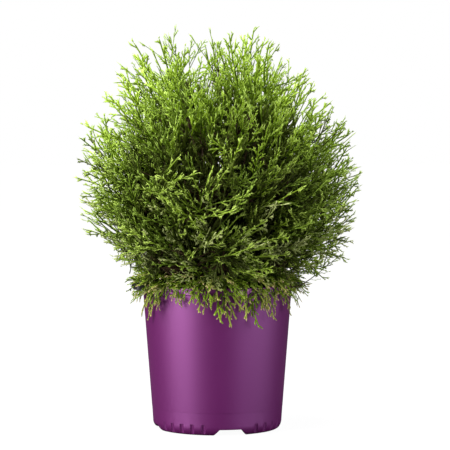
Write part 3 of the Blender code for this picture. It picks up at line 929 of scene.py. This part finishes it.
def keep_off_pot(verts):
    """Pushes what would be inside the pot's wall or lip out onto its surface."""
    radius = np.hypot(verts[:, 0], verts[:, 1])
    low = (verts[:, 2] < POT_HEIGHT + WALL_ROOM) & (radius > 0.09)
    scale = np.where(low, np.maximum(1.0, (LIP_RADIUS + WALL_ROOM) / np.maximum(radius, 0.001)), 1.0)
    verts[:, :2] *= scale[:, None]


class Spread:
    """Remembers points, and says whether a new one stands too near another."""

    def __init__(self, spacing):
        self.spacing = spacing
        self.cells = {}

    def take(self, point):
        i, j, k = (floor(c / self.spacing) for c in point)
        steps = (-1, 0, 1)
        near = ((i + a, j + b, k + c) for a in steps for b in steps for c in steps)
        if any((other - point).length < self.spacing for key in near for other in self.cells.get(key, ())):
            return False
        self.cells.setdefault((i, j, k), []).append(point)
        return True


def clear_of_pot(point):
    """Whether a point is above the pot, outside it or well inside its opening."""
    radius = hypot(point.x, point.y)
    if point.z > POT_HEIGHT + POT_ROOM or radius > GRIP_OUTER + POT_ROOM:
        return True
    return radius < LIP_RADIUS - OPENING_ROOM and point.z > SOIL_LEVEL + SOIL_ROOM


def fullness(along):
    """How far out the plumes reach that way: lumpy all round, more above, less in the open places."""
    lump = min(0.0, noise.noise(4.5 * along + CLUMP_SHIFTS[0]))
    azimuth = degrees(atan2(along.x, -along.y))
    lift = degrees(asin(along.z))
    full = 1 + EDGE_LUMPS * lump + TOP_FULLER * along.z
    for hollow in HOLLOWS:
        aside = (azimuth - hollow["azimuth"]) / hollow["wide"]
        above = (lift - hollow["lift"]) / hollow["tall"]
        full -= hollow["depth"] * exp(-aside * aside - above * above)
    return full


def bent_line(root, bend, tip):
    """The points of a line that leaves root towards bend and turns to tip."""
    shares = [k / PLUME_STEPS for k in range(PLUME_STEPS + 1)]
    return [root.lerp(bend, share).lerp(bend.lerp(tip, share), share) for share in shares]


def line_to(tip, root_way, tip_way, length):
    """The line of about that length that starts one way and ends another at its tip."""
    bend = tip - 0.5 * length * tip_way
    return bent_line(bend - 0.5 * length * root_way, bend, tip)


class Plume:
    """A twig that bends up to its tip, in a plane of its own, with sprays on either side."""

    def __init__(self, line, length, facing, use=None):
        self.line = line
        self.length = length
        self.facing = facing
        self.use = use

    def clear(self):
        return all(clear_of_pot(point) for point in self.line)

    def at(self, share):
        where = share * PLUME_STEPS
        k = min(int(where), PLUME_STEPS - 1)
        step = self.line[k + 1] - self.line[k]
        return self.line[k] + (where - k) * step, step.normalized()

    def sprays(self, draw):
        """Root, way, facing, length, curl and sway of each spray, from the plume's base to its tip."""
        side = draw.choice((-1, 1))
        near, far = SPRAY_SHARES
        for n in range(PLUME_SPRAYS):
            last = n == PLUME_SPRAYS - 1
            share = PLUME_BARE + (PLUME_LAST - PLUME_BARE) * n / (PLUME_SPRAYS - 1)
            root, ahead = self.at(share)
            length = self.length * (near + (far - near) * share) * draw.uniform(0.85, 1.15)
            across = self.facing.cross(ahead).normalized()
            out = ahead.cross(across)
            angle = 0.0 if last else side * radians(draw.uniform(*LATERAL_ANGLE))
            way = cos(angle) * ahead + sin(angle) * across + draw.gauss(0, 0.24) * out
            facing = out + draw.gauss(0, 0.35) * across + draw.gauss(0, 0.2) * ahead
            sway = -0.35 * copysign(1, angle) if angle else swing(draw, 0.15)
            yield root, way.normalized(), facing.normalized(), length, swing(draw, 0.2), sway
            side = -side


def crown_plumes(draw):
    """Plumes whose tips stand evenly in layers under the crown's edge, and turn up and out in clumps."""
    for layer in LAYERS:
        spread = Spread(layer["spacing"])
        for _ in range(TRIES):
            z = draw.uniform(-0.95, 1.0)
            spin = draw.uniform(0, 2 * pi)
            level = sqrt(1 - z * z)
            along = Vector((level * cos(spin), level * sin(spin), z))
            tip = edge_point(PLUME_ORIGIN, along, draw.uniform(*layer["share"]) * fullness(along))
            radius = hypot(tip.x, tip.y)
            if tip.z < LOWEST_TIP + max(0.0, radius - LOW_TIP_RADIUS) / LOW_TIP_SLOPE:
                continue
            if not clear_of_pot(tip) or not spread.take(tip):
                continue
            if along.z > TOP_FROM and draw.random() < TOP_OPEN:
                continue
            low = max(0.0, min(1.0, (LOW_TOP - tip.z) / LOW_DEPTH))
            radial = (tip - TIP_WAY_ORIGIN).normalized()
            clump = CLUMPING * Vector([noise.noise(tip * 12 + shift) for shift in CLUMP_SHIFTS])
            aside = stray(draw, TIP_STRAY)
            rise = draw.uniform(*TIP_RISE) * (1 - low) - TIP_FALL * low
            tip_way = (radial + Vector((0, 0, rise)) + clump + aside).normalized()
            outward = Vector((tip.x, tip.y, 0.001)).normalized()
            root_way = (tip_way + 0.5 * outward + Vector((0, 0, 0.2 * low))).normalized()
            facing = (Vector((-outward.y, outward.x, 0)) + stray(draw, FACING_STRAY)).normalized()
            length = draw.uniform(*layer["length"])
            plume = Plume(line_to(tip, root_way, tip_way, length), length, facing)
            if plume.clear():
                yield plume


def arching_plumes(draw):
    """Slender ones that leave the crown's body and turn across it."""
    for n in range(ARCHING):
        angle = 360.0 * (n + swing(draw, 0.5)) / ARCHING
        along = (around(angle, 0.17, draw.uniform(*ARCH_HEIGHT)) - PLUME_ORIGIN).normalized()
        tip = edge_point(PLUME_ORIGIN, along, draw.uniform(*ARCH_SHARE) * fullness(along))
        outward = Vector((along.x, along.y, 0)).normalized()
        across = draw.choice((-1, 1)) * Vector((-outward.y, outward.x, 0))
        rise = Vector((0, 0, draw.uniform(-0.5, 0.6)))
        tip_way = (across + 0.35 * outward + rise).normalized()
        root_way = (outward + 0.4 * across + Vector((0, 0, 0.6))).normalized()
        facing = (outward + stray(draw, LOOSE_STRAY)).normalized()
        length = draw.uniform(*ARCH_LENGTH)
        plume = Plume(line_to(tip, root_way, tip_way, length), length, facing, "arching")
        if plume.clear():
            yield plume


def hanging_plumes(draw):
    """Plumes that bend over the lip and hang, the longest in front."""
    for use, plan in HANGERS.items():
        for n in range(plan["count"]):
            angle = 360.0 * (n + swing(draw, 0.4)) / plan["count"]
            root = around(angle + swing(draw, 10), *plan["root"])
            bend = around(angle, *plan["bend"])
            tip_angle = angle + swing(draw, 6)
            tip = around(tip_angle, draw.uniform(*plan["radius"]), draw.uniform(*plan["height"]))
            if abs((angle + 180) % 360 - 180) > FRONT_HALF_ANGLE:
                tip.z += SHORTER * max(0.0, SHORTER_TO - tip.z)
            outward = Vector((tip.x, tip.y, 0)).normalized()
            facing = outward + Vector((0, 0, 0.6)) + stray(draw, LOOSE_STRAY)
            length = (tip - bend).length + HANG_OVERLAP
            yield Plume(bent_line(root, bend, tip), length, facing.normalized(), use)


# Colours of a spray's tips, of its middle and of its root
# The tones by place are partly painted light and shade: lighter at the top and near the crown's edge where
# light falls, darker inside the crown where shade falls (the shade and inner tones).
TONES = {
    "top_bright": ((162, 188, 86), (128, 156, 40), (86, 110, 12)),
    "top": ((133, 159, 54), (103, 130, 26), (66, 89, 7)),
    "side_bright": ((149, 172, 74), (108, 132, 31), (67, 87, 10)),
    "side": ((116, 140, 54), (86, 108, 26), (56, 73, 9)),
    "low": ((168, 177, 114), (127, 138, 74), (86, 96, 43)),
    "shade": ((77, 91, 30), (57, 68, 17), (37, 45, 8)),
    "inner": ((58, 68, 24), (45, 53, 15), (32, 38, 8)),
    "arching": ((156, 178, 82), (114, 137, 42), (75, 95, 20)),
    "hanging": ((194, 172, 124), (136, 144, 62), (76, 94, 26)),
}
TONE_STRAY = 0.03
# Sprays deeper than these shares take the darker tones, painted shade
DEEP_SHARE = 0.62  # of the way to the crown's edge, as the next
INSIDE_SHARE = 0.76
TOP_INSIDE = 0.46
LOW_INSIDE = 0.30
TOP_OUTSIDE = 0.45
LOW_OUTSIDE = 0.31


def tone_of(tip, use, draw):
    """Painted light and shade: lighter near the crown's edge and at the top, darker deep inside; tan where a
    spray hangs over the lip.
    """
    share = crown_share(tip) + draw.gauss(0, TONE_STRAY)
    if use == "arching":
        return use
    if use == "hanging":
        return draw.choice(("hanging", "hanging", "hanging", "side_bright"))
    if use == "lip":
        return draw.choice(("low", "side", "side_bright", "side_bright", "top"))
    # Deep inside: painted shade, the inner tone, and the shade tone near the top
    if share < DEEP_SHARE:
        return "shade" if tip.z > TOP_INSIDE else "inner"
    if share < INSIDE_SHARE:
        if tip.z > TOP_INSIDE:
            return draw.choice(("shade", "side", "side", "top"))
        if tip.z > LOW_INSIDE:
            return draw.choice(("shade", "shade", "shade", "side"))
        return draw.choice(("shade", "low", "low", "side"))
    height = tip.z + draw.gauss(0, TONE_STRAY)
    if height > TOP_OUTSIDE:
        return draw.choice(("top_bright", "top", "top"))
    if height > LOW_OUTSIDE:
        return draw.choice(("side_bright", "side", "side", "shade"))
    return draw.choice(("side_bright", "low", "low", "low", "side"))


def kind_of(tip, use, draw):
    """Broad and plain deep inside, and slender here and there outside."""
    if use:
        return "slender" if use == "arching" else "coarse"
    share = crown_share(tip)
    if share < DEEP_BELOW:
        return "deep"
    return "slender" if draw.random() < SLENDER_SHARE[share > SLENDER_FROM] else "full"


def piece_name(mass):
    """Two masses of a tier go into one piece, and the crest is one by itself."""
    if not mass.number:
        return f"sprays_{mass.tier}"
    return f"sprays_{mass.tier}_{'abcd'[(mass.number - 1) // 2]}"


def look_of(tone):
    return 3 * list(TONES).index(tone)


def add_spray(mass, shape, tone, root, way, facing, length, curl, sway):
    verts, faces, parts = shape
    placed = place_spray(verts, root, way, facing, length, curl, sway)
    keep_off_pot(placed)
    mass.pile.add(placed, faces, look_of(tone) + parts)


def add_hub(mass, shapes, draw):
    """Sprays in the dark inner tone, painted shade, all round a mass's heart, so that its branches leave from
    among foliage.
    """
    for n in range(HUB_SPRAYS):
        level = 1 - 2 * (n + 0.5) / HUB_SPRAYS
        along = around(n * GOLDEN_ANGLE, sqrt(1 - level * level), level)
        across = stray(draw, 1).cross(along).normalized()
        shape = draw.choice(shapes["deep"])
        length = HUB_LENGTH * draw.uniform(0.8, 1.1)
        add_spray(mass, shape, "inner", mass.heart, along, across, length, 0.2, 0.2)


def add_sprays(plume, mass, shapes, draw):
    """A plume's sprays, which end at the crown's edge unless they hang over the lip."""
    over_lip = plume.use in HANGERS
    for root, way, facing, length, curl, sway in plume.sprays(draw):
        kind = kind_of(root + length * way, plume.use, draw)
        if kind == "slender":
            length *= SLENDER_LENGTH
        tip = root + length * way
        while crown_share(tip) > 1.0 and not over_lip and length > 0.02:
            length *= 0.88
            tip = root + length * way
        if not over_lip and not clear_of_pot(tip):
            continue
        shape = draw.choice(shapes[kind])
        add_spray(mass, shape, tone_of(tip, plume.use, draw), root, way, facing, length, curl, sway)


def add_stem(plume, mass, twigs, draw):
    """A plume's green stem, and the brown twig that carries it from a branch."""
    foot, middle, end = (share * TWIG_RADIUS for share in TWIG_TAPER)
    stem = plume.line[BARE_TWIG:-1]
    look = look_of(tone_of(plume.line[6], plume.use, draw))
    mass.pile.add(*tube(stem, np.linspace(middle, end, len(stem)), 4), look)
    base = plume.line[0]
    way = (plume.line[1] - base).normalized()
    place = mass.place_for_twig(base, way)
    back = base - 0.45 * (base - place).length * way
    line = [bezier(place, place.lerp(back, 0.6), back, base, k / TWIG_STEPS) for k in range(TWIG_STEPS)]
    line += plume.line[:BARE_TWIG + 1]
    twigs.add(*tube(line, np.linspace(foot, middle, len(line)), 4))


def make_foliage(masses):
    draw = random.Random(SEED + 2)
    shapes = {}
    for name, kind in KINDS.items():
        shapes[name] = [spray_template(kind, draw) for _ in range(kind["shapes"])]
    greens = []
    for name, colours in TONES.items():
        for part, colour in zip(("root", "middle", "tip"), reversed(colours)):
            greens.append(leaf_material(f"leaf_{name}_{part}", srgb(*colour)))
    plumes = [*crown_plumes(draw), *arching_plumes(draw), *hanging_plumes(draw)]
    for mass in masses:
        if mass.tier in ("skirt", "belt"):
            add_hub(mass, shapes, draw)
    twigs = Pile()
    for plume in plumes:
        mass = min(masses, key=lambda m: (m.heart - plume.line[PLUME_STEPS // 2]).length)
        add_sprays(plume, mass, shapes, draw)
        add_stem(plume, mass, twigs, draw)
    groups = {}
    for mass in masses:
        groups.setdefault(piece_name(mass), []).append(mass)
        for branch in mass.branches:
            twigs.add(*tube(branch, np.linspace(BRANCH_RADIUS, TWIG_RADIUS, len(branch)), 5))
    slots = {"skirt": "foliage_low", "belt": "foliage_middle"}
    for name, group in groups.items():
        joined = Pile()
        for mass in group:
            joined.add(*mass.pile.arrays())
        slot = slots.get(group[0].tier, "foliage_high")
        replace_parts(joined.build(name, greens, slot), *[mass.name for mass in group])
    twigs.build("twigs", [varied("twig_bark")], "bark")


# The studio

def make_lights():
    for name, place, aim, size, power, colour in LIGHTS:
        light = bpy.data.lights.new(name, "AREA")
        light.shape = "RECTANGLE"
        light.size, light.size_y = size
        light.energy = power
        light.color = colour
        made = new_object(name, light)
        made.location = place
        made.rotation_euler = (Vector(aim) - Vector(place)).to_track_quat("-Z", "Y").to_euler()
        made.visible_camera = False


def make_floor():
    """A white floor that glows more the farther it is, as a sweep of paper lit from behind does."""
    mesh = bpy.data.meshes.new("floor")
    bm = bmesh.new()
    bmesh.ops.create_circle(bm, cap_ends=True, segments=96, radius=14)
    bm.to_mesh(mesh)
    bm.free()
    paper = new_object("floor", mesh)
    made, tree, shader = principled("paper", (0.05, 0.05, 0.05, 1), 0.8, 0.0)
    place = add_node(tree, "TexCoord")
    distance = add_node(tree, "VectorMath", Vector=place.outputs["Object"])
    distance.operation = "LENGTH"
    glow = add_node(tree, "MapRange", Value=distance.outputs["Value"], **FLOOR_GLOW)
    path = add_node(tree, "LightPath")
    seen = add_node(tree, "Math", Value=glow.outputs["Result"])
    seen.operation = "MULTIPLY"
    tree.links.new(path.outputs["Is Camera Ray"], seen.inputs[1])
    connect(tree, shader, Emission_Strength=seen.outputs[0], Emission_Color=WHITE)
    mesh.materials.append(made)
    paper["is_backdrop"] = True


def make_studio():
    make_floor()
    make_lights()
    world = bpy.data.worlds.new("studio")
    bpy.context.scene.world = world
    world.use_nodes = True
    tree = world.node_tree
    fill = connect(tree, tree.nodes["Background"], Color=WHITE, Strength=0.065)
    seen = add_node(tree, "Background", Color=WHITE, Strength=1.0)
    path = add_node(tree, "LightPath")
    mix = add_node(tree, "MixShader")
    tree.links.new(path.outputs["Is Camera Ray"], mix.inputs[0])
    tree.links.new(fill.outputs[0], mix.inputs[1])
    tree.links.new(seen.outputs[0], mix.inputs[2])
    connect(tree, tree.nodes["World Output"], Surface=mix.outputs[0])


def make_camera():
    camera = new_object("camera", bpy.data.cameras.new("camera"))
    camera.data.lens = 178.4
    camera.data.sensor_width = 36
    camera.location = CAMERA_PLACE
    camera.rotation_euler = (CAMERA_AIM - CAMERA_PLACE).to_track_quat("-Z", "Y").to_euler()
    bpy.context.scene.camera = camera
    bpy.context.scene.view_settings.view_transform = "Standard"


def main():
    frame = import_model()
    frame_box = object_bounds()
    masses = plan_masses()
    make_pot()
    make_soil(frame["nodes"]["potting_mix"])
    make_chips()
    make_wood(masses)
    make_foliage(masses)
    make_studio()
    make_camera()
    boxes = {"cad": frame_box, "visual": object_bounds()}
    {name: [list(corner) for corner in box] for name, box in boxes.items()}


main()
